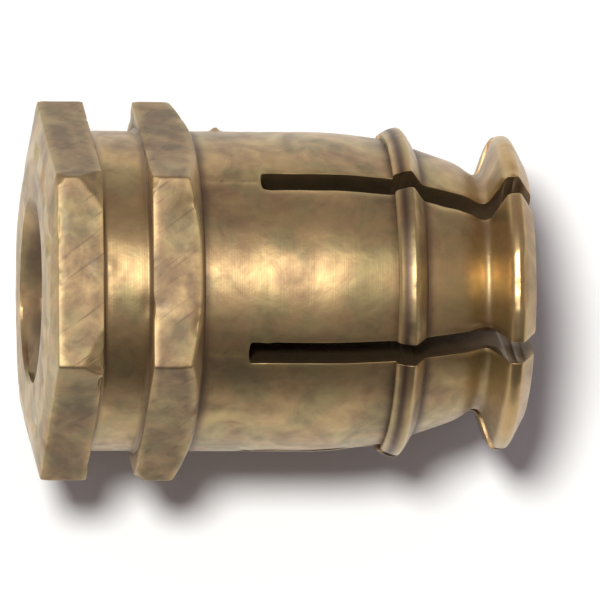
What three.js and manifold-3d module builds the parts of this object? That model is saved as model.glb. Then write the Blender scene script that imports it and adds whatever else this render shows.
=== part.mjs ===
// Expansion wall anchor: one piece of brass turned from 7/16 in hexagonal bar, tapped 1/4-20,
// and sawn from its inner end into six spring fingers that a driven screw spreads in the wall.
// Millimetres. +X runs along the bore from the head's outer face into the wall, +Z is up with the
// anchor lying on a flat of its hexagon, and the origin is the bore's centre in the head's outer face.
import * as THREE from 'three';
import { mergeVertices } from 'three/addons/utils/BufferGeometryUtils.js';
import Module from 'manifold-3d';

const wasm = await Module();
wasm.setup();

const INCH = 25.4;
const AROUND = 72;            // facets around every turned surface
const THREAD_AROUND = 36;     // facets around the thread
const ROUND_STEPS = 4;        // facets across a small rounded edge

// ---- driving dimensions ----

const bar = { acrossFlats: 7 / 16 * INCH };
bar.cornerRadius = bar.acrossFlats / Math.sqrt(3);

// The 1/4-20 screw that the anchor takes.
const screw = {
  pitch: INCH / 20,
  majorRadius: 0.25 * INCH / 2,
  drilledRadius: 2.55,        // the tap drill's, which leaves the thread's crests flat
  rootFlat: INCH / 20 / 8,
  halfAngle: 30,              // between a flank and the cross-section
  threadEnd: 12,              // beyond this the bore keeps its drilled size, which the screw must spread
};

// Places along the bore, from the head's outer face.
const at = {
  headBack: 1.82,
  lockFront: 3.45,
  lockShoulder: 4.72,
  lockBack: 5.24,
  fingerRoot: 7.35,
  barrelTaper: 10,
  gripFront: 11.75,
  gripCrestBack: 12.38,
  gripBack: 12.8,
  tipBend: 14.3,
  neckFront: 14.85,
  neckBack: 15.05,
  lipFront: 15.6,
  lipBack: 16.02,
  end: 16.5,
};

const radius = {
  collar: 5.37,
  barrel: 5.37,
  barrelAtGrip: 5.15,
  grip: 5.55,
  gripFoot: 4.85,
  tipBend: 4.35,
  neckFront: 3.95,
  neck: 3.9,
  lip: 5.3,
  end: 4.4,
  headFace: 4.7,
  boreMouth: 3.2,
  boreExit: 2.8,
};
const HEAD_CHAMFER = 0.25;
const GRIP_ROUND = 0.14;

// Three saw cuts right across the end. They are not evenly indexed and not equally deep.
const saw = {
  kerf: 0.028 * INCH,
  cuts: [
    { angle: 37, root: 7.25 },
    { angle: 87, root: 7 },
    { angle: 151, root: 6.75 },
  ],
};

const brassLook = { color: 0xa0834f, roughness: 0.42, metalness: 1 };

// ---- solids ----

// A closed three.js geometry as a manifold solid.
function solid(geometry) {
  geometry.deleteAttribute('normal');
  geometry.deleteAttribute('uv');
  const merged = mergeVertices(geometry, 1e-5);
  return new wasm.Manifold(new wasm.Mesh({
    numProp: 3,
    vertProperties: new Float32Array(merged.attributes.position.array),
    triVerts: new Uint32Array(merged.index.array),
  }));
}

// A point of a cross-section. Angles are in degrees about the bore, from +Z towards +Y.
function sectionPoint(angle, r) {
  const a = THREE.MathUtils.degToRad(angle);
  return new THREE.Vector2(-r * Math.cos(a), r * Math.sin(a));
}

// A cross-section extruded along the bore, with its two ends exactly at the given places.
function prism(points, from, to) {
  const shape = new THREE.Shape(points);
  const geometry = new THREE.ExtrudeGeometry(shape, { depth: 1, bevelEnabled: false });
  geometry.rotateY(Math.PI / 2);
  const position = geometry.attributes.position;
  for (let i = 0; i < position.count; i++) position.setX(i, position.getX(i) < 0.5 ? from : to);
  return geometry;
}

// A profile of [place along the bore, radius] pairs turned about the bore. It starts and ends on the axis.
function turned(profile, around = AROUND, firstAngle = Math.PI / around) {
  const points = profile.map(([x, r]) => new THREE.Vector2(r, x));
  const geometry = new THREE.LatheGeometry(points, around, firstAngle);
  geometry.rotateZ(-Math.PI / 2);
  return geometry;
}

// The hexagonal bar, with a flat facing up and a flat facing down.
function hexBar() {
  const corners = [];
  for (let i = 0; i < 6; i++) corners.push(sectionPoint(30 + 60 * i, bar.cornerRadius));
  return prism(corners, -1, at.end + 1);
}

// The head's turned outline: a thin slice of bar with its corners eased on the outer face.
function headOutline() {
  const clear = bar.cornerRadius + 1;
  const rise = (clear - radius.headFace) / (bar.cornerRadius - radius.headFace);
  return [[0, radius.headFace], [HEAD_CHAMFER * rise, clear], [at.headBack, clear]];
}

// The lock flange's: full bar, then a cone that leaves an arc on each flat of the hexagon.
function lockOutline() {
  const clear = bar.cornerRadius + 1;
  const rise = (clear - radius.barrel) / (bar.cornerRadius - radius.barrel);
  const coneStart = at.lockBack - (at.lockBack - at.lockShoulder) * rise;
  return [[at.lockFront, clear], [coneStart, clear], [at.lockBack, radius.barrel]];
}

// The grip ring's: a square face, a rounded crest and a slope down to the tip.
function gripOutline() {
  const points = [];
  for (let i = 0; i <= ROUND_STEPS; i++) {
    const a = Math.PI / 2 * i / ROUND_STEPS;
    const x = at.gripFront + GRIP_ROUND * (1 - Math.cos(a));
    points.push([x, radius.grip - GRIP_ROUND * (1 - Math.sin(a))]);
  }
  points.push([at.gripCrestBack, radius.grip], [at.gripBack, radius.gripFoot]);
  return points;
}

// What the lathe leaves on the outside of each stretch, as [place along the bore, radius] pairs.
const sleeveOutlines = {
  head_flange: headOutline(),
  flange_collar: [[at.headBack, radius.collar], [at.lockFront, radius.collar]],
  lock_flange: lockOutline(),
  barrel: [[at.lockBack, radius.barrel], [at.fingerRoot, radius.barrel]],
};
const fingerOutlines = {
  shank: [
    [at.fingerRoot, radius.barrel],
    [at.barrelTaper, radius.barrel],
    [at.gripFront, radius.barrelAtGrip],
  ],
  grip: gripOutline(),
  tip: [
    [at.gripBack, radius.gripFoot],
    [at.tipBend, radius.tipBend],
    [at.neckFront, radius.neckFront],
    [at.neckBack, radius.neck],
    [at.lipFront, radius.lip],
    [at.lipBack, radius.lip],
    [at.end, radius.end],
  ],
};

// Radius that the tap reaches at a share of the pitch: 60 degree flanks with a flat root.
function tapRadius(pitches) {
  const share = pitches - Math.floor(pitches);
  const fromRoot = Math.abs(share - 0.5) * screw.pitch;
  const flank = Math.max(0, fromRoot - screw.rootFlat / 2);
  return screw.majorRadius - flank / Math.tan(THREE.MathUtils.degToRad(screw.halfAngle));
}

// Radius of the bore at a place along it and a share of a turn about it: the drilled hole, with a
// countersink at the head, an eased edge at the fingers' end and the thread in between.
function boreRadius(x, turn) {
  const mouth = radius.boreMouth - x;
  const exit = radius.boreExit - (at.end - x);
  const tapped = x < screw.threadEnd ? tapRadius(x / screw.pitch - turn) : 0;
  return Math.max(screw.drilledRadius, mouth, exit, tapped);
}

// The space inside the bore: a turned rod whose wall is pushed in and out along the helix.
function boreSpace() {
  const step = screw.pitch / 6;
  const places = [];
  for (let x = -screw.pitch; x < screw.threadEnd + step; x += step) places.push(x);
  places.push(at.end - radius.boreExit + screw.drilledRadius, at.end + screw.pitch);
  const wall = places.map((x) => [x, screw.majorRadius]);
  const geometry = turned([[places[0], 0], ...wall, [places.at(-1), 0]], THREAD_AROUND, 0);
  const position = geometry.attributes.position;
  const point = new THREE.Vector3();
  for (let i = 0; i < position.count; i++) {
    point.fromBufferAttribute(position, i);
    if (Math.hypot(point.y, point.z) < screw.majorRadius / 2) continue;
    const turn = Math.atan2(point.y, point.z) / (2 * Math.PI);
    const scale = boreRadius(point.x, turn) / screw.majorRadius;
    position.setXYZ(i, point.x, point.y * scale, point.z * scale);
  }
  return geometry;
}

// One saw blade's path, right across the fingers from the end to its root.
function sawPath(cut) {
  const width = 3 * bar.acrossFlats;
  const path = new THREE.BoxGeometry(width, width, saw.kerf);
  path.translate(cut.root + width / 2, 0, 0);
  path.rotateX(THREE.MathUtils.degToRad(90 - cut.angle));
  return path;
}

// ---- sub-parts ----

const stock = solid(hexBar());
const bore = solid(boreSpace());
const sawPaths = saw.cuts.map((cut) => solid(sawPath(cut)));

// One stretch of the bar, turned to its outline, bored, tapped and sawn.
function machined(outline) {
  const turnedStretch = solid(turned([[outline[0][0], 0], ...outline, [outline.at(-1)[0], 0]]));
  let piece = stock.intersect(turnedStretch).subtract(bore);
  for (const path of sawPaths) piece = piece.subtract(path);
  return piece;
}

// The wedge of the bar between two angles, which holds one finger.
function wedge(fromAngle, toAngle) {
  const reach = bar.acrossFlats;
  const angles = [fromAngle, (fromAngle + toAngle) / 2, toAngle];
  const corners = [new THREE.Vector2(0, 0), ...angles.map((angle) => sectionPoint(angle, reach))];
  return solid(prism(corners, 0, at.end + 1));
}

function toMesh(name, shape) {
  const { vertProperties, triVerts } = shape.getMesh();
  const geometry = new THREE.BufferGeometry();
  geometry.setAttribute('position', new THREE.BufferAttribute(new Float32Array(vertProperties), 3));
  geometry.setIndex(new THREE.BufferAttribute(new Uint32Array(triVerts), 1));
  geometry.computeVertexNormals();
  const mesh = new THREE.Mesh(geometry, new THREE.MeshStandardMaterial(brassLook));
  mesh.name = name;
  return mesh;
}

// The head end, which the fingers spring from.
function sleeve() {
  const group = new THREE.Group();
  for (const [name, outline] of Object.entries(sleeveOutlines)) {
    group.add(toMesh(name, machined(outline)));
  }
  return group;
}

// Six spring fingers between the slots, counted from the one that faces up: each has a plain shank,
// its share of the grip ring, and a tapered tip with a flared lip.
function fingers() {
  const group = new THREE.Group();
  const slots = saw.cuts.flatMap((cut) => [cut.angle, cut.angle + 180]).sort((a, b) => a - b);
  for (const [part, outline] of Object.entries(fingerOutlines)) {
    const ring = machined(outline);
    slots.forEach((toAngle, index) => {
      const fromAngle = index === 0 ? slots.at(-1) - 360 : slots[index - 1];
      const piece = ring.intersect(wedge(fromAngle, toAngle));
      group.add(toMesh(`finger_${index + 1}_${part}`, piece));
    });
  }
  return group;
}

const anchor = new THREE.Group();
anchor.add(sleeve(), fingers());

export default anchor;
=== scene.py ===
"""A brass expansion anchor lying on its side on a pale floor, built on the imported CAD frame.

The anchor's lengths are in millimetres along the row frame's axes: x runs along the bore from the
head's outer face to the finger tips, and angles turn about the bore from +Z towards +Y. The setting's
lengths are in metres.
"""
import math

import bmesh
import bpy
import numpy as np
from mathutils import Matrix, Vector, kdtree, noise


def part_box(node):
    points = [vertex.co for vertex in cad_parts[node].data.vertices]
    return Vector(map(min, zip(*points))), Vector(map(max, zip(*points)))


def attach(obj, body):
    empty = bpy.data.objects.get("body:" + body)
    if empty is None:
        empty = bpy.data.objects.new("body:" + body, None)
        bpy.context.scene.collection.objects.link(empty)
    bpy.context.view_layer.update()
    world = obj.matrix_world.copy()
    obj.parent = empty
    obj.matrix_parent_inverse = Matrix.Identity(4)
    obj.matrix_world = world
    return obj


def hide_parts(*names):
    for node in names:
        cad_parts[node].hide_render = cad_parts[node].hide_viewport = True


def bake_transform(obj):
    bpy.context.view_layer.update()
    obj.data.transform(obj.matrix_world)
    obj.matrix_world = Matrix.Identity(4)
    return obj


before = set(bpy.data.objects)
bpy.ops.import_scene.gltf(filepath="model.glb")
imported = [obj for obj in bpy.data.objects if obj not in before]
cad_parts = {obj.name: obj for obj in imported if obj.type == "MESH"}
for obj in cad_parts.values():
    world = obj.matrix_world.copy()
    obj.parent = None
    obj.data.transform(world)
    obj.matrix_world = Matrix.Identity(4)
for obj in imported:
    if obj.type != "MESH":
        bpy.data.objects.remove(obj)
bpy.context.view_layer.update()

MM = 0.001


# ---- sizes, from the frame where it holds them ----

def stretch(node):
    """The first and last place of a CAD node along the bore."""
    low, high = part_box(node)
    return low[0] / MM, high[0] / MM


HEAD_FRONT, HEAD_BACK = stretch("head_flange")
LOCK_FRONT, LOCK_BACK = stretch("lock_flange")
FINGER_ROOT, GRIP_FRONT = stretch("finger_1_shank")
GRIP_BACK, END = stretch("finger_1_tip")
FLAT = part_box("head_flange")[1][2] / MM
CORNER = FLAT / math.cos(math.pi / 6)

HEAD_FACE_RADIUS, HEAD_CHAMFER = 4.7, 0.25
COLLAR_RADIUS = 5.37
BARREL_RADIUS, BARREL_AT_GRIP = 5.37, 5.15
LOCK_SHOULDER, BARREL_TAPER = 4.72, 10
GRIP_RADIUS, GRIP_STEP, GRIP_SHOULDER, GRIP_FOOT = 5.55, 5.3, 5.4, 4.85
GRIP_CREST, GRIP_CREST_BACK = 12.2, 12.38
TIP_BEND, TIP_BEND_RADIUS = 14.3, 4.35
NECK, NECK_RADIUS = 14.95, 3.9
NECK_CORNER = NECK + 0.07, NECK_RADIUS - 0.07    # where the lines on either side of the round neck meet
LIP_RADIUS, LIP_FRONT, LIP_BACK, END_RADIUS = 5.3, 15.6, 16.02, 4.4

# The bore, and its thread, a quarter of an inch across with twenty turns to the inch.
DRILLED_RADIUS, MAJOR_RADIUS, PITCH, THREAD_END = 2.55, 3.175, 1.27, 12.0
BORE_MOUTH, BORE_EXIT = 3.2, 2.8
KERF = 0.711                     # a slot's width
CUT_ANGLES = (37, 87, 151)       # of the saw cuts, in degrees
CUT_ROOTS = (7.25, 7.0, 6.75)    # where each cut's slots begin

# ---- how finely the surfaces are drawn ----

ROW = 0.1                 # between rows along the bore
AROUND = 432              # columns round a whole ring
ACROSS = 60               # columns across one finger
DEEP = 16                 # points down a finger's side wall
BEND = (0.2, 0.4, 0.6, 0.8)    # the points of an eased corner, as shares of the way round it
CORNER_SHARE = 0.45       # of a line, that the easing of one corner may take
GENTLE = 0.25             # a corner eased over more than this isn't an edge that wears
SLOT_END = 0.1            # length over which a slot's end is rounded
SLOT_END_ROWS = (0, 0.02, 0.1, 0.25, 0.5, 1)    # as shares of that length
SLOT_EASE = 0.05          # on a slot's edges
FILLET = 0.1              # at the collar's two ends
CORNER_ROUND = 0.12       # on the hexagonal bar's corners
CAP_LOOPS = 6             # from the outline of a finger's end face to its middle line
JOIN_DISTANCE = 1e-7      # metres
SHARP_ANGLE = 38          # degrees: faces that meet at more than this are shaded apart

# ---- wear, dirt and painted shade ----

UNEVEN = 0.010            # depth of the unevenness all over
FINE_UNEVEN = 0.003       # and of the finer unevenness on it
COARSE, FINE = 1.1, 0.35  # about how wide the bumps of each are
FLANGE_NICKS, BARREL_NICKS, SHANK_NICKS, TIP_NICKS = 0.13, 0.02, 0.03, 0.05    # how deep they go
NICK_WIDTH = 0.16
NICK_CHANCE = 0.12        # how strong the noise has to be before an edge is nicked
NICK_RISE = 0.6           # and how much stronger where a nick is at its deepest
RUB_DEPTH, RUB_WIDTH = 0.018, 0.09    # of the metal that every edge has lost to handling
SEAM_ALONG, SEAM_OUT = 0.25, 0.15    # how far from a seam wear is back to its full depth
BRIGHT_WIDTH = 0.14       # how far from an edge the brass is rubbed bright
CREASE_WIDTH = 0.2        # how far from a crease its painted shade and grime reach
SKIN_DEPTH = 0.1          # how far below the bar's surface its skin fades
SLOT_SHADE_AND_GRIME = 0.2, 0.55, 0.85    # painted shade with some grime on a slot's eased edge, at the top of its wall and at the wall's foot
BORE_SHADE_AND_GRIME = 0.7           # painted shade with some grime deep in the bore, from 0 to 1 as all of it here
BORE_DARKENING = 0.5          # from the mouth to here the bore darkens to that

# Dents, and burrs where the depth is below 0: place along the bore, angle in degrees, depth, width.
DENTS = [
    (6.2, 84, -0.16, 0.13),
    (4.7, 22, 0.10, 0.40),
    (3.5, -12, 0.08, 0.35),
    (1.8, 2, -0.07, 0.30),
]

HEXAGONS = ("head_flange", "lock_flange")    # the pieces that have corners to chip
CHIP_REACH, CHIP_GRAIN = 1.5, 0.05

# Flat breaks through the hexagon's corners: place along the bore, angle in degrees, how deep the break
# lies below the unworn corner, and the way it faces, as its parts along, round and out from the bore.
CHIPS = [
    (HEAD_BACK, 30, 0.33, (0.42, -0.16, 0.90)),
    (HEAD_BACK, -30, 0.30, (0.44, 0.26, 0.86)),
    (HEAD_FRONT, 31, 0.22, (-0.55, -0.10, 0.83)),
    (LOCK_FRONT, 28, 0.10, (-0.50, -0.20, 0.84)),
    (HEAD_BACK, 150, 0.25, (0.50, 0.20, 0.84)),
    (LOCK_FRONT, -91, 0.16, (-0.60, 0.10, 0.79)),
]

# Where the colour is darkened with painted shade and some grime, mostly where the surface turns inwards:
# place along the bore, radius, how dark.
SHADED_CREASES = [
    (HEAD_BACK, COLLAR_RADIUS, 0.6),
    (LOCK_FRONT, COLLAR_RADIUS, 0.8),
    (LOCK_BACK, BARREL_RADIUS, 0.8),
    (GRIP_FRONT, BARREL_AT_GRIP, 0.6),
    # Painted shade over the front of the grip ring's crest, which dulls its highlight.
    (GRIP_FRONT + 0.28, 5.48, 1),
    (GRIP_BACK, GRIP_FOOT, 0.85),
    # Painted shade in the neck, which dims the highlight there.
    (NECK, NECK_RADIUS, 0.35),
]

# Where two pieces meet in one unbroken surface, and the radius that the surface has there.
SEAMS = [
    (HEAD_BACK, COLLAR_RADIUS + FILLET),
    (LOCK_FRONT, COLLAR_RADIUS + FILLET),
    (LOCK_BACK, BARREL_RADIUS),
    (FINGER_ROOT, BARREL_RADIUS),
    (GRIP_FRONT, BARREL_AT_GRIP),
    (GRIP_BACK, GRIP_FOOT),
]

# ---- the setting, in metres ----

CENTRE = (9.1 * MM, -0.28 * MM, 0)
CAMERA_DIRECTION = (-0.130, -0.110, 0.985)
CAMERA_UP = (0.010, 1, 0)
CAMERA_DISTANCE = 0.65    # much further away, and the other views' far clipping hides the anchor
VIEW_WIDTH = 20.16 * MM   # that the picture spans at the anchor
FLOOR_HALF = 1.5
FLOOR_GAP = 0.02          # millimetres, below the flat that the anchor lies on
# The black card: how far to the side it stands, its lower and upper edges, and half its length.
FLAG_SIDE, FLAG_LOW, FLAG_HIGH, FLAG_HALF = -0.200, 0.012, 0.250, 0.350
WORLD_LOW, WORLD_HIGH = 0.55, 0.24    # how bright the surround is near the horizon, and well above it
WORLD_RISE = 0.05, 0.6    # the heights between which it changes, as the z of a direction
WORLD_COLOUR = (1.0, 0.86, 0.93, 1)
KEY_DIRECTION = (-0.26, 0.125, 0.97)
KEY_DISTANCE, KEY_SIZE, KEY_POWER = 2.0, 0.46, 43
KEY_COLOUR = (1, 0.985, 0.95)


# ---- profiles ----

def bent(before, corner, after):
    """Points of a small curve that eases a corner, between the points where it starts and ends."""
    return [(1 - t) ** 2 * before + 2 * t * (1 - t) * corner + t * t * after for t in BEND]


def drawn(keys, eases):
    """Rows of a profile through its key points. Each key is an array of a place and a radius, for one or
    for every column, and its ease is the distance from the corner at which it starts to turn.
    Returns the rows, and for each whether it lies on an edge that wears."""
    rows, on_edge = [], []
    for i in range(len(keys) - 1):
        a, b = keys[i], keys[i + 1]
        length = np.linalg.norm(b - a, axis=0)
        along = (b - a) / length
        start = a + along * np.minimum(eases[i], CORNER_SHARE * length)
        stop = b - along * np.minimum(eases[i + 1], CORNER_SHARE * length)
        count = max(2, math.ceil(np.max(length) / ROW))
        for t in np.linspace(0, 1, count + 1):
            rows.append(start + (stop - start) * t)
            on_edge.append(False)
        if i + 2 == len(keys):
            break
        if eases[i + 1] > 0:
            ahead = np.linalg.norm(keys[i + 2] - b, axis=0)
            after = b + (keys[i + 2] - b) / ahead * np.minimum(eases[i + 1], CORNER_SHARE * ahead)
            curve = bent(stop, b, after)
            rows += curve
            on_edge += [eases[i + 1] < GENTLE] * len(curve)
        else:
            rows.pop()
            on_edge.pop()
    return np.array(rows), np.array(on_edge)


def keys_of(points, columns=1):
    """Key points for drawn(), each place and radius spread over every column."""
    return [np.array([np.full(columns, x), np.broadcast_to(r, columns)], float) for x, r in points]


def bore_radius(x, angle):
    """Radius of the bore: the drilled hole, its thread, the countersunk mouth and the eased exit."""
    share = (x / PITCH - angle / (2 * math.pi)) % 1
    flank = np.maximum(0, np.abs(share - 0.5) * PITCH - PITCH / 16)
    tapped = np.where(x < THREAD_END, MAJOR_RADIUS - flank / math.tan(math.radians(30)), 0)
    radius = np.maximum(tapped, DRILLED_RADIUS)
    radius = np.maximum(radius, BORE_MOUTH - x)
    return np.maximum(radius, BORE_EXIT - (END - x))


def ring_angles():
    """Column angles round a ring, closer together near the hexagon's corners, where the wear is."""
    share = np.linspace(-1, 1, AROUND // 6, endpoint=False)
    crowded = 0.6 * share + 0.4 * share ** 3
    offset = math.pi / 6 * crowded
    corners = math.pi / 6 + math.pi / 3 * np.arange(6)
    return (corners[:, None] + offset[None, :]).ravel()


def hexagon_radius(angle):
    """Radius of the hexagonal bar at each angle, its corners eased to a small round."""
    from_corner = angle % (math.pi / 3) - math.pi / 6
    from_flat = math.pi / 6 - np.abs(from_corner)
    centre = (FLAT - CORNER_ROUND) / math.cos(math.pi / 6)
    aside = centre * np.sin(from_corner)
    rounded = centre * np.cos(from_corner) + np.sqrt(np.maximum(CORNER_ROUND ** 2 - aside ** 2, 0))
    flat_ends = math.atan((1 - CORNER_ROUND / FLAT) * math.tan(math.pi / 6))
    return np.where(from_flat > flat_ends, rounded, FLAT / np.cos(from_flat))


# ---- meshes ----

class Shell:
    """Points and faces of one piece, which points lie on its eased edges, and how much painted shade and
    grime each one has.
    """

    def __init__(self):
        self.points, self.faces, self.on_edge, self.dirt, self.count = [], [], [], [], 0

    def add(self, points, on_edge, dirt):
        """Adds points, an array of any shape ending in 3. Returns their numbers in the same shape."""
        shape = points.shape[:-1]
        total = int(np.prod(shape))
        self.points.append(points.reshape(-1, 3))
        self.on_edge.append(np.broadcast_to(on_edge, shape).reshape(-1).astype(float))
        self.dirt.append(np.broadcast_to(dirt, shape).reshape(-1).astype(float))
        self.count += total
        return np.arange(self.count - total, self.count).reshape(shape)

    def skin(self, ids, wrap_rows, kept=None):
        """Quads over a grid of points that closes on itself across its columns, and down its rows too
        where asked. kept says which quads to make, and without it all are made."""
        rows = np.vstack([ids, ids[:1]]) if wrap_rows else ids
        grid = np.hstack([rows, rows[:, :1]])
        quads = np.stack([grid[:-1, :-1], grid[:-1, 1:], grid[1:, 1:], grid[1:, :-1]], axis=-1)
        self.faces.append(quads.reshape(-1, 4) if kept is None else quads[kept])


def placed(x, r, angle):
    """Points at places along the bore, radii and angles."""
    x, r, angle = np.broadcast_arrays(x, r, angle)
    return np.stack([x, r * np.sin(angle), r * np.cos(angle)], axis=-1)


def ring(points, eases):
    """A closed ring of the bar: its outside through the key points, its end faces and its bore."""
    shell = Shell()
    angles = ring_angles()
    keys = keys_of(points, AROUND)
    first, last = keys[0][0].max(), keys[-1][0].max()
    bore_x = np.linspace(last, first, math.ceil((last - first) / ROW) + 1)
    bore_r = bore_radius(bore_x[:, None], angles[None, :])
    back, front = keys_of([(bore_x[0], bore_r[0]), (bore_x[-1], bore_r[-1])], AROUND)
    rows, on_edge = drawn([front, *keys, back], [0, *eases, 0])
    outside = placed(rows[:, 0], rows[:, 1], angles[None, :])
    inside = placed(bore_x[1:-1, None], bore_r[1:-1], angles[None, :])
    # Painted shade with some grime, growing from the bore's mouth inwards.
    bore_dirt = BORE_SHADE_AND_GRIME * np.clip(bore_x[1:-1, None] / BORE_DARKENING, 0, 1)
    ids = [shell.add(outside, on_edge[:, None], 0), shell.add(inside, 0, bore_dirt)]
    shell.skin(np.vstack(ids), True)
    return shell


def half_kerf(x, root):
    """Half a slot's width at a place along it: nothing before its root, and full past a small round."""
    t = min(max((x - root) / SLOT_END, 0), 1)
    return KERF / 2 * math.sqrt(1 - (1 - t) ** 2)


def side_wall(x, outer, angle, side, half):
    """Points down a finger's side wall from the outside to the bore, with its outer edge eased, and the
    angle where the outer arc meets them. side is 1 where the finger lies beyond the slot's angle, and -1
    where it lies before it."""
    ease = SLOT_EASE * half / (KERF / 2)
    ray = np.array([math.sin(angle), math.cos(angle)])
    across = np.array([math.cos(angle), -math.sin(angle)]) * side
    inner = float(bore_radius(x, angle + side * math.asin(half / DRILLED_RADIUS)))
    top = math.sqrt(outer ** 2 - half ** 2)
    foot = math.sqrt(inner ** 2 - half ** 2)
    wall = [ray * s + across * half for s in np.linspace(top - ease, foot, DEEP)]
    arc_angle = angle + side * (math.asin(half / outer) + ease / outer)
    on_arc = outer * np.array([math.sin(arc_angle), math.cos(arc_angle)])
    return arc_angle, np.array(bent(on_arc, ray * top + across * half, wall[0]) + wall)


def section(x, outer, slots, roots):
    """One closed cross-section of a finger: its outer arc, a side wall, the bore's arc and the other
    side wall."""
    halves = [half_kerf(x, root) for root in roots]
    arc_start, near_wall = side_wall(x, outer, slots[0], 1, halves[0])
    arc_end, far_wall = side_wall(x, outer, slots[1], -1, halves[1])
    arc = np.linspace(arc_start, arc_end, ACROSS)
    outside = np.stack([outer * np.sin(arc), outer * np.cos(arc)], axis=-1)
    bore_start = slots[0] + math.asin(halves[0] / np.linalg.norm(near_wall[-1]))
    bore_end = slots[1] - math.asin(halves[1] / np.linalg.norm(far_wall[-1]))
    bore_arc = np.linspace(bore_end, bore_start, ACROSS + 2)[1:-1]
    radii = bore_radius(x, bore_arc)
    inside = np.stack([radii * np.sin(bore_arc), radii * np.cos(bore_arc)], axis=-1)
    loop = np.vstack([outside, far_wall, inside, near_wall[::-1]])
    return np.column_stack([np.full(len(loop), x), loop])


# The points on one side wall of a cross-section, and which of its quads lie on each side wall.
WALL = len(BEND) + DEEP
FAR_WALL = slice(ACROSS - 1, ACROSS + WALL - 1)
NEAR_WALL = slice(2 * ACROSS + WALL, 2 * ACROSS + 2 * WALL)


def section_values(arc, edge, wall_top, wall_foot, bore):
    """A value for each point of a cross-section: on its outer arc, its eased edges, down its walls and
    on the bore."""
    wall = [edge] * len(BEND) + list(np.linspace(wall_top, wall_foot, DEEP))
    return np.array([arc] * ACROSS + wall + [bore] * ACROSS + wall[::-1])


def cap(loop):
    """Loops that close a finger's cross-section, shrinking onto its middle line."""
    outside = loop[:ACROSS]
    inside = loop[ACROSS + WALL:][:ACROSS][::-1]
    middle = (outside + inside) / 2
    far, near = [np.repeat(end[None], WALL, 0) for end in (middle[-1], middle[0])]
    target = np.vstack([middle, far, middle[::-1], near])
    return [loop + (target - loop) * t for t in np.linspace(0, 1, CAP_LOOPS + 1)[1:]]


def add_finger(shell, rows, on_edge, slots, roots):
    """A stretch of one finger, through rows of place and radius. Where it lies before its slots' roots
    its walls are left out, because the metal goes on into the next finger."""
    loops = [section(x, r, slots, roots) for x, r in rows]
    front, back = cap(loops[0]), cap(loops[-1])
    flags = [np.maximum(section_values(0, 1, 0, 0, 0), flag) for flag in on_edge]
    # Painted shade with some grime down the slot walls, deepest at their foot, and in the bore.
    dirt = [section_values(0, *SLOT_SHADE_AND_GRIME, BORE_SHADE_AND_GRIME)] * len(loops)
    plain = [section_values(0, 0, 0, 0, 0)]
    flags = plain * len(front) + flags + plain * len(back)
    dirt = plain * len(front) + dirt + plain * len(back)
    places = [rows[0][0]] * len(front) + [row[0] for row in rows] + [rows[-1][0]] * len(back)
    points = np.array(front[::-1] + loops + back)
    ids = shell.add(points, np.array(flags), np.array(dirt))
    kept = np.ones((len(places) - 1, ids.shape[1]), bool)
    for root, wall in zip(roots, (NEAR_WALL, FAR_WALL)):
        shut = np.array(places) <= root
        kept[shut[:-1] & shut[1:], wall] = False
    shell.skin(ids, False, kept)


def slot_list():
    """Every slot's angle and root, in order round the bore. A saw cut makes two, half a turn apart."""
    cuts = list(zip(CUT_ANGLES, CUT_ROOTS))
    return sorted((math.radians(angle + turn), root) for angle, root in cuts for turn in (0, 180))


def fingers():
    """Each finger's number, the angles of the slots before and beyond it, and those slots' roots."""
    slots = slot_list()
    last_angle, last_root = slots[-1]
    before = [(last_angle - 2 * math.pi, last_root)] + slots[:-1]
    return [(i + 1, (a[0], b[0]), (a[1], b[1])) for i, (a, b) in enumerate(zip(before, slots))]


# ---- wear ----

def fade(distance, width):
    """1 at no distance, falling smoothly to almost nothing at twice the width."""
    return np.exp(-(distance / width) ** 2)


def smooth_noise(points, scale, seed):
    """Smooth noise from -1 to 1 at each point, with features about scale across."""
    shift = np.array([seed * 7.31, seed * 3.17, seed * 5.73])
    return np.array([noise.noise(p) for p in (points / scale + shift).tolist()])


def edge_distance(points, on_edge):
    """Distance from each point to the nearest eased edge."""
    marks = points[on_edge]
    tree = kdtree.KDTree(len(marks))
    for i, p in enumerate(marks):
        tree.insert(p, i)
    tree.balance()
    return np.array([tree.find(p)[2] for p in points])


def dent_depth(points):
    """How deep the dents are at each point, and below 0 how high the burrs stand."""
    total = np.zeros(len(points))
    r = np.hypot(points[:, 1], points[:, 2])
    for x, degrees, depth, width in DENTS:
        middle = placed(x, r, math.radians(degrees))
        total += depth * fade(np.linalg.norm(points - middle, axis=1), width)
    return total


def chipped(points):
    """The points with what stands beyond each chip's break pressed back onto it, grainy as it broke."""
    grain = CHIP_GRAIN * smooth_noise(points, FINE, 5)
    for x, degrees, depth, (along, round_bore, out) in CHIPS:
        angle = math.radians(degrees)
        outward = np.array([0, math.sin(angle), math.cos(angle)])
        sideways = np.array([0, math.cos(angle), -math.sin(angle)])
        facing = np.array([along, 0, 0]) + round_bore * sideways + out * outward
        facing /= np.linalg.norm(facing)
        corner = np.array([x, 0, 0]) + hexagon_radius(angle) * outward
        beyond = np.maximum((points - corner) @ facing + depth + grain, 0)
        near = np.linalg.norm(points - corner, axis=1) < CHIP_REACH
        points = points - np.where(near, beyond, 0)[:, None] * facing
    return points


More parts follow.
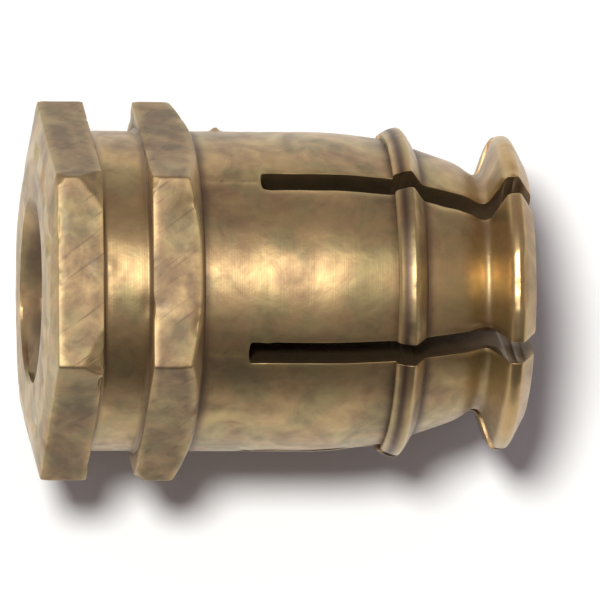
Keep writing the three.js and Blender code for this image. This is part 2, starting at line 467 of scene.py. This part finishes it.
def worn(points, normals, distance, nick):
    """The points after handling and tumbling: a faint unevenness all over, nicks out of the edges and
    some dents. Wear fades at the seams between pieces, so that their surfaces still match."""
    uneven = UNEVEN * smooth_noise(points, COARSE, 1) + FINE_UNEVEN * smooth_noise(points, FINE, 2)
    chance = smooth_noise(points, COARSE, 3) + 0.3 * smooth_noise(points, 0.4, 4)
    depth = nick * np.clip(chance - NICK_CHANCE, 0, NICK_RISE) / NICK_RISE
    nicks = depth * fade(distance, NICK_WIDTH)
    rubbed = RUB_DEPTH * fade(distance, RUB_WIDTH)
    change = uneven - nicks - rubbed - dent_depth(points)
    r = np.hypot(points[:, 1], points[:, 2])
    for place, radius in SEAMS:
        away = np.maximum(np.abs(points[:, 0] - place) / SEAM_ALONG, (r - radius) / SEAM_OUT)
        change *= np.clip(away, 0, 1)
    return points + normals * change[:, None]


def crease_dirt(points):
    """Painted shade with some grime where a step or a neck turns inwards, from 0 to 1."""
    r = np.hypot(points[:, 1], points[:, 2])
    total = np.zeros(len(points))
    for x, radius, amount in SHADED_CREASES:
        away = np.hypot(points[:, 0] - x, r - radius)
        total = np.maximum(total, amount * fade(away, CREASE_WIDTH))
    return total


def bar_skin(points):
    """1 on flats that are still the drawn bar's own surface, falling to 0 where the lathe has cut."""
    r = np.hypot(points[:, 1], points[:, 2])
    below = hexagon_radius(np.arctan2(points[:, 1], points[:, 2])) - r
    return np.where(points[:, 0] < LOCK_BACK, fade(below, SKIN_DEPTH), 0)


def read_values(mesh, key):
    values = np.empty(len(mesh.vertices), np.float32)
    mesh.attributes[key].data.foreach_get("value", values)
    return values


def write_values(mesh, key, values):
    layer = mesh.attributes.get(key) or mesh.attributes.new(key, "FLOAT", "POINT")
    layer.data.foreach_set("value", values.astype(np.float32))


def joined_mesh(name, shell):
    """The shell as a mesh in metres, its coincident points joined and its faces turned outwards."""
    mesh = bpy.data.meshes.new(name)
    mesh.from_pydata((np.vstack(shell.points) * MM).tolist(), [], np.vstack(shell.faces).tolist())
    write_values(mesh, "edge_wear", np.concatenate(shell.on_edge))
    write_values(mesh, "dirt", np.concatenate(shell.dirt))
    bm = bmesh.new()
    bm.from_mesh(mesh)
    bmesh.ops.remove_doubles(bm, verts=bm.verts, dist=JOIN_DISTANCE)
    bmesh.ops.recalc_face_normals(bm, faces=bm.faces)
    bm.to_mesh(mesh)
    bm.free()
    return mesh


def finish_piece(node, shell, nick):
    """The shell as a worn, smooth-shaded object that stands for a CAD node. nick is how deep its edges
    are nicked. What it writes to edge_wear, to its painted shade and grime and to bar_skin steers its
    material."""
    mesh = joined_mesh(f"{node}_metal", shell)
    points = np.array([v.co for v in mesh.vertices]) / MM
    normals = np.array([v.normal for v in mesh.vertices])
    distance = edge_distance(points, read_values(mesh, "edge_wear") > 0.5)
    write_values(mesh, "edge_wear", fade(distance, BRIGHT_WIDTH))
    # Painted shade with some grime in the creases, over what the slots and bore already have.
    write_values(mesh, "dirt", np.maximum(read_values(mesh, "dirt"), crease_dirt(points)))
    write_values(mesh, "bar_skin", bar_skin(points))
    points = worn(points, normals, distance, nick)
    if node in HEXAGONS:
        points = chipped(points)
    mesh.vertices.foreach_set("co", (points * MM).ravel())
    mesh.update()
    mesh.shade_smooth()
    mesh.set_sharp_from_angle(angle=math.radians(SHARP_ANGLE))
    obj = bpy.data.objects.new(mesh.name, mesh)
    bpy.context.scene.collection.objects.link(obj)
    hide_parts(node)
    return obj


# ---- the pieces ----

def head_flange():
    """A thin slice of hexagonal bar whose outer face is turned flat, with a shallow chamfer round it."""
    hexagon = hexagon_radius(ring_angles())
    points = [(HEAD_FRONT, HEAD_FACE_RADIUS), (HEAD_FRONT + HEAD_CHAMFER, hexagon), (HEAD_BACK, hexagon)]
    return ring(points, [0.2, 0.08, 0.06])


def flange_collar():
    """The round stretch between the two flanges, with a small fillet against each."""
    foot = COLLAR_RADIUS + FILLET
    points = [
        (HEAD_BACK, foot),
        (HEAD_BACK + FILLET, COLLAR_RADIUS),
        (LOCK_FRONT - FILLET, COLLAR_RADIUS),
        (LOCK_FRONT, foot),
    ]
    return ring(points, [0, 0.05, 0.05, 0])


def lock_flange():
    """A second slice of the bar, whose inner side is a cone that leaves an arc on each flat."""
    hexagon = hexagon_radius(ring_angles())
    share = (hexagon - BARREL_RADIUS) / (CORNER - BARREL_RADIUS)
    shoulder = LOCK_BACK - share * (LOCK_BACK - LOCK_SHOULDER)
    points = [(LOCK_FRONT, hexagon), (shoulder, hexagon), (LOCK_BACK, BARREL_RADIUS)]
    return ring(points, [0.06, 0.09, 0])


def profile_rows(points, eases):
    """The drawn() rows of a profile that is the same all round, each as one place and one radius."""
    rows, on_edge = drawn(keys_of(points), eases)
    return rows[:, :, 0], on_edge


def barrel():
    """The round stretch up to the fingers' roots, with the slots' ends in it. Extra rows follow each
    slot's rounded end, in every finger's share alike so that neighbours join."""
    shell = Shell()
    places = list(np.linspace(LOCK_BACK, FINGER_ROOT, round((FINGER_ROOT - LOCK_BACK) / ROW) + 1))
    ends = [root + SLOT_END * share for root in CUT_ROOTS for share in SLOT_END_ROWS]
    places = sorted({round(x, 6) for x in places + ends if x <= FINGER_ROOT})
    rows = [(x, BARREL_RADIUS) for x in places]
    for _, slots, roots in fingers():
        add_finger(shell, rows, [False] * len(rows), slots, roots)
    return shell


def finger_shank(slots, roots):
    """A finger from its root to the grip ring, with a slight taper at its end."""
    shell = Shell()
    points = [(FINGER_ROOT, BARREL_RADIUS), (BARREL_TAPER, BARREL_RADIUS), (GRIP_FRONT, BARREL_AT_GRIP)]
    add_finger(shell, *profile_rows(points, [0, 0.6, 0]), slots, roots)
    return shell


def finger_grip(slots, roots):
    """A finger's share of the grip ring: a low step, a rise to a narrow crest and a steeper fall."""
    shell = Shell()
    points = [
        (GRIP_FRONT, GRIP_STEP),
        (GRIP_FRONT + 0.08, GRIP_SHOULDER),
        (GRIP_CREST, GRIP_RADIUS),
        (GRIP_CREST_BACK, GRIP_RADIUS),
        (GRIP_BACK, GRIP_FOOT),
    ]
    add_finger(shell, *profile_rows(points, [0, 0.05, 0.12, 0.1, 0]), slots, roots)
    return shell


def finger_tip(slots, roots):
    """The tapered end of a finger, with its neck and its flared lip."""
    shell = Shell()
    points = [
        (GRIP_BACK, GRIP_FOOT),
        (TIP_BEND, TIP_BEND_RADIUS),
        NECK_CORNER,
        (LIP_FRONT, LIP_RADIUS),
        (LIP_BACK, LIP_RADIUS),
        (END, END_RADIUS),
    ]
    add_finger(shell, *profile_rows(points, [0, 0.3, 0.4, 0.19, 0.12, 0]), slots, roots)
    return shell


def build_anchor():
    """Every piece; the rings go on the sleeve and each finger's grip and tip on that finger, while its
    shank is left on no body. Returns their objects.
    """
    pieces = []
    rings = [
        (head_flange, FLANGE_NICKS),
        (flange_collar, 0),
        (lock_flange, FLANGE_NICKS),
        (barrel, BARREL_NICKS),
    ]
    for make, nick in rings:
        obj = finish_piece(make.__name__, make(), nick)
        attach(obj, "sleeve")
        pieces.append(obj)
    for number, slots, roots in fingers():
        body = f"finger_{number}"
        shank = finish_piece(f"{body}_shank", finger_shank(slots, roots), SHANK_NICKS)
        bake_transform(shank)
        grip = finish_piece(f"{body}_grip", finger_grip(slots, roots), TIP_NICKS)
        tip = finish_piece(f"{body}_tip", finger_tip(slots, roots), TIP_NICKS)
        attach(grip, body)
        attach(tip, body)
        pieces += [shank, grip, tip]
    return pieces


# ---- material ----

YELLOW_BRASS, OLIVE_BRASS = (0.50, 0.345, 0.155, 1), (0.43, 0.330, 0.145, 1)
BROWN_TARNISH, OLIVE_TARNISH = (0.245, 0.155, 0.080, 1), (0.205, 0.155, 0.076, 1)
# The last of these is the darkest colour, for painted shade with some grime.
BAR_SKIN, TIP_GOLD, SHADE_AND_GRIME = (0.17, 0.125, 0.080, 1), (0.37, 0.22, 0.075, 1), (0.070, 0.034, 0.021, 1)
RELIEF = 0.010 * MM       # how high the brass's fine relief stands, in metres


class Nodes:
    """Short calls that build the node tree of a material or a world. An input is a number, a colour or
    another node's output."""

    def __init__(self, owner):
        owner.use_nodes = True
        self.tree = owner.node_tree
        self.tree.nodes.clear()

    def put(self, socket, value):
        if isinstance(value, bpy.types.NodeSocket):
            self.tree.links.new(value, socket)
        else:
            socket.default_value = value

    def add(self, kind, inputs=None, **settings):
        node = self.tree.nodes.new(kind)
        for key, value in settings.items():
            setattr(node, key, value)
        for key, value in (inputs or {}).items():
            self.put(node.inputs[key], value)
        return node

    def total(self, *terms, start=0.0, clamp=False):
        """The start plus each term's value times its weight, kept from 0 to 1 where asked."""
        total = start
        for value, weight in terms:
            node = self.add("ShaderNodeMath", {0: value, 1: weight, 2: total}, operation="MULTIPLY_ADD")
            total = node.outputs[0]
        node.use_clamp = clamp
        return total

    def noise(self, vector, scale, detail=3.0, roughness=0.55, distortion=0.0):
        inputs = {
            "Vector": vector,
            "Scale": scale,
            "Detail": detail,
            "Roughness": roughness,
            "Distortion": distortion,
        }
        return self.add("ShaderNodeTexNoise", inputs).outputs["Fac"]

    def ramp(self, value, low, high, to_low=0.0, to_high=1.0, shape="SMOOTHSTEP"):
        inputs = {"Value": value, "From Min": low, "From Max": high, "To Min": to_low, "To Max": to_high}
        return self.add("ShaderNodeMapRange", inputs, interpolation_type=shape).outputs["Result"]

    def mix(self, share, a, b):
        node = self.add("ShaderNodeMix", data_type="RGBA")
        for socket, value in zip((node.inputs[0], node.inputs[6], node.inputs[7]), (share, a, b)):
            self.put(socket, value)
        return node.outputs[2]

    def attribute(self, name):
        return self.add("ShaderNodeAttribute", attribute_name=name).outputs["Fac"]

    def surface(self, inputs):
        """A principled shader as the material's surface."""
        shader = self.add("ShaderNodeBsdfPrincipled", inputs)
        self.add("ShaderNodeOutputMaterial", {"Surface": shader.outputs["BSDF"]})


def around_the_lathe(n, x, y, z):
    """A place that is the same all round the bore, so that a pattern on it runs in rings."""
    radius = n.add("ShaderNodeMath", {0: n.total((y, y), (z, z))}, operation="SQRT").outputs[0]
    return n.add("ShaderNodeCombineXYZ", {0: x, 1: radius}).outputs[0]


def along_scratches(n, mm):
    """A place stretched along one slanted direction, so that a pattern on it runs in scratches."""
    turned = {"Vector": mm, "Rotation": (0, 0, math.radians(35)), "Scale": (2.5, 0.15, 0.4)}
    return n.add("ShaderNodeMapping", turned, vector_type="TEXTURE").outputs[0]


def aged_brass():
    """Turned brass, unevenly tarnished to brown and olive, bright where edges are rubbed, darkened with
    painted shade and some grime in creases, slots and the bore, duller and scratched on the drawn bar's
    own flats, cleaner and more golden at the tips.
    Its patterns lie in millimetres in the frame's own space, so that pieces match."""
    material = bpy.data.materials.new("aged_brass")
    n = Nodes(material)
    place = n.add("ShaderNodeTexCoord").outputs["Object"]
    mm = n.add("ShaderNodeVectorMath", {0: place, "Scale": 1 / MM}, operation="SCALE").outputs["Vector"]
    x, y, z = n.add("ShaderNodeSeparateXYZ", {0: mm}).outputs
    # The second of these is the mask of painted shade with some grime.
    edge, dirt, skin = n.attribute("edge_wear"), n.attribute("dirt"), n.attribute("bar_skin")

    clean = n.ramp(x, GRIP_BACK, NECK)
    clouds = n.noise(mm, 0.55, 4.0, 0.6, 0.8)
    patches = n.noise(mm, 1.4, 3.0, 0.5, 0.3)
    specks = n.noise(mm, 9.0, 3.0, 0.6)
    grooves = n.noise(around_the_lathe(n, x, y, z), 16.0, 2.0, 0.7)
    scratches = n.ramp(n.noise(along_scratches(n, mm), 1.0, 2.0, 0.5), 0.60, 0.76)
    scratches = n.total((scratches, skin))

    tarnish = n.total(
        (n.ramp(clouds, 0.30, 0.72), 0.70),
        (n.ramp(patches, 0.32, 0.70), 0.35),
        (n.ramp(specks, 0.56, 0.80), 0.15),
        (scratches, 0.35),
        (skin, 0.12),
        (edge, -0.55),
        clamp=True,
    )
    olive = n.ramp(n.noise(mm, 0.8, 3.0, 0.5), 0.42, 0.62)
    bright = n.mix(olive, YELLOW_BRASS, OLIVE_BRASS)
    dull = n.mix(olive, BROWN_TARNISH, OLIVE_TARNISH)
    colour = n.mix(tarnish, bright, dull)
    colour = n.mix(n.total((skin, 0.25)), colour, BAR_SKIN)
    colour = n.mix(n.total((clean, 0.35)), colour, TIP_GOLD)
    # Painted shade with some grime in the creases, slots and bore.
    colour = n.mix(n.total((dirt, 0.92)), colour, SHADE_AND_GRIME)

    roughness = n.total(
        (tarnish, 0.14),
        (dirt, 0.15),
        (specks, 0.06),
        (skin, 0.18),
        (clean, -0.04),
        start=0.36,
    )
    height = n.total((grooves, 0.3), (specks, 0.15), (patches, 1.2), (scratches, -0.5))
    bump = n.add("ShaderNodeBump", {"Strength": 1.0, "Distance": RELIEF, "Height": height})
    # A little off the bore's own direction, so that it is never quite an end face's normal.
    lathe_feed = n.add("ShaderNodeVectorTransform", {0: (1, 0.02, 0.03)},
                       vector_type="VECTOR", convert_from="OBJECT", convert_to="WORLD")
    n.surface({
        "Base Color": colour,
        "Metallic": 0.90,
        "Roughness": roughness,
        "Anisotropic": 0.5,
        "Coat Weight": 0.4,
        "Coat Roughness": 0.45,
        "Normal": bump.outputs["Normal"],
        "Tangent": lathe_feed.outputs[0],
    })
    return material


def paper_white():
    """The floor: plain pale paper with a hardly visible tooth."""
    material = bpy.data.materials.new("paper_white")
    n = Nodes(material)
    place = n.add("ShaderNodeTexCoord").outputs["Object"]
    tooth = n.noise(place, 900.0, 2.0)
    bump = n.add("ShaderNodeBump", {"Strength": 0.15, "Distance": 0.02 * MM, "Height": tooth})
    n.surface({
        "Base Color": (0.86, 0.875, 0.875, 1),
        "Roughness": 0.85,
        "Normal": bump.outputs["Normal"],
    })
    return material


def black_card():
    material = bpy.data.materials.new("black_card")
    Nodes(material).surface({"Base Color": (0.02, 0.02, 0.025, 1), "Roughness": 0.9})
    return material


# ---- the setting ----

def sheet(name, corners, material):
    """One flat face through four corners."""
    mesh = bpy.data.meshes.new(name)
    mesh.from_pydata(corners, [], [(0, 1, 2, 3)])
    mesh.materials.append(material)
    obj = bpy.data.objects.new(name, mesh)
    bpy.context.scene.collection.objects.link(obj)
    return obj


def add_floor():
    """A wide pale sheet at the height of the flat that the anchor lies on."""
    half = FLOOR_HALF
    corners = [(-half, -half, 0), (half, -half, 0), (half, half, 0), (-half, half, 0)]
    floor = sheet("floor", corners, paper_white())
    floor.location.z = -(FLAT + FLOOR_GAP) * MM


def aimed(obj, direction, distance, target, up=(0, 1, 0)):
    """Puts an object at a distance from its target in a direction, facing it."""
    back = Vector(direction).normalized()
    side = Vector(up).cross(back).normalized()
    frame_axes = Matrix((side, back.cross(side), back)).transposed().to_4x4()
    obj.matrix_world = Matrix.Translation(Vector(target) + back * distance) @ frame_axes


def add_key_light():
    """One soft round lamp nearly above the anchor, a little towards its head."""
    data = bpy.data.lights.new("key", "AREA")
    data.shape = "DISK"
    data.size = KEY_SIZE
    data.energy = KEY_POWER
    data.color = KEY_COLOUR
    light = bpy.data.objects.new("key", data)
    bpy.context.scene.collection.objects.link(light)
    aimed(light, KEY_DIRECTION, KEY_DISTANCE, CENTRE)


def add_flag():
    """A black card well out on the near side, out of every picture, which keeps the anchor's near side
    dark."""
    corners = [
        (-FLAG_HALF, FLAG_SIDE, FLAG_LOW),
        (FLAG_HALF, FLAG_SIDE, FLAG_LOW),
        (FLAG_HALF, FLAG_SIDE, FLAG_HIGH),
        (-FLAG_HALF, FLAG_SIDE, FLAG_HIGH),
    ]
    flag = sheet("flag", corners, black_card())
    flag.visible_camera = False


def add_world():
    """A dim surround, paler near the horizon, which the camera sees as white paper."""
    world = bpy.data.worlds.new("surround")
    bpy.context.scene.world = world
    n = Nodes(world)
    direction = n.add("ShaderNodeTexCoord").outputs["Generated"]
    height = n.add("ShaderNodeSeparateXYZ", {0: direction}).outputs["Z"]
    brightness = n.ramp(height, *WORLD_RISE, WORLD_LOW, WORLD_HIGH, shape="LINEAR")
    seen = n.add("ShaderNodeLightPath").outputs["Is Camera Ray"]
    strength = n.ramp(seen, 0, 1, brightness, 1, shape="LINEAR")
    colour = n.mix(seen, WORLD_COLOUR, (1, 1, 1, 1))
    background = n.add("ShaderNodeBackground", {"Color": colour, "Strength": strength})
    n.add("ShaderNodeOutputWorld", {"Surface": background.outputs[0]})


def add_camera():
    """A long lens nearly straight above, tilted a little towards the head and the near side."""
    data = bpy.data.cameras.new("camera")
    data.sensor_width = 36
    data.lens = data.sensor_width * CAMERA_DISTANCE / VIEW_WIDTH
    data.clip_start, data.clip_end = 0.01, 10
    camera = bpy.data.objects.new("camera", data)
    bpy.context.scene.collection.objects.link(camera)
    aimed(camera, CAMERA_DIRECTION, CAMERA_DISTANCE, CENTRE, CAMERA_UP)
    bpy.context.scene.camera = camera


add_camera()
brass = aged_brass()
for piece in build_anchor():
    piece.data.materials.append(brass)
add_floor()
add_world()
add_key_light()
add_flag()
bpy.context.scene.view_settings.view_transform = "Standard"
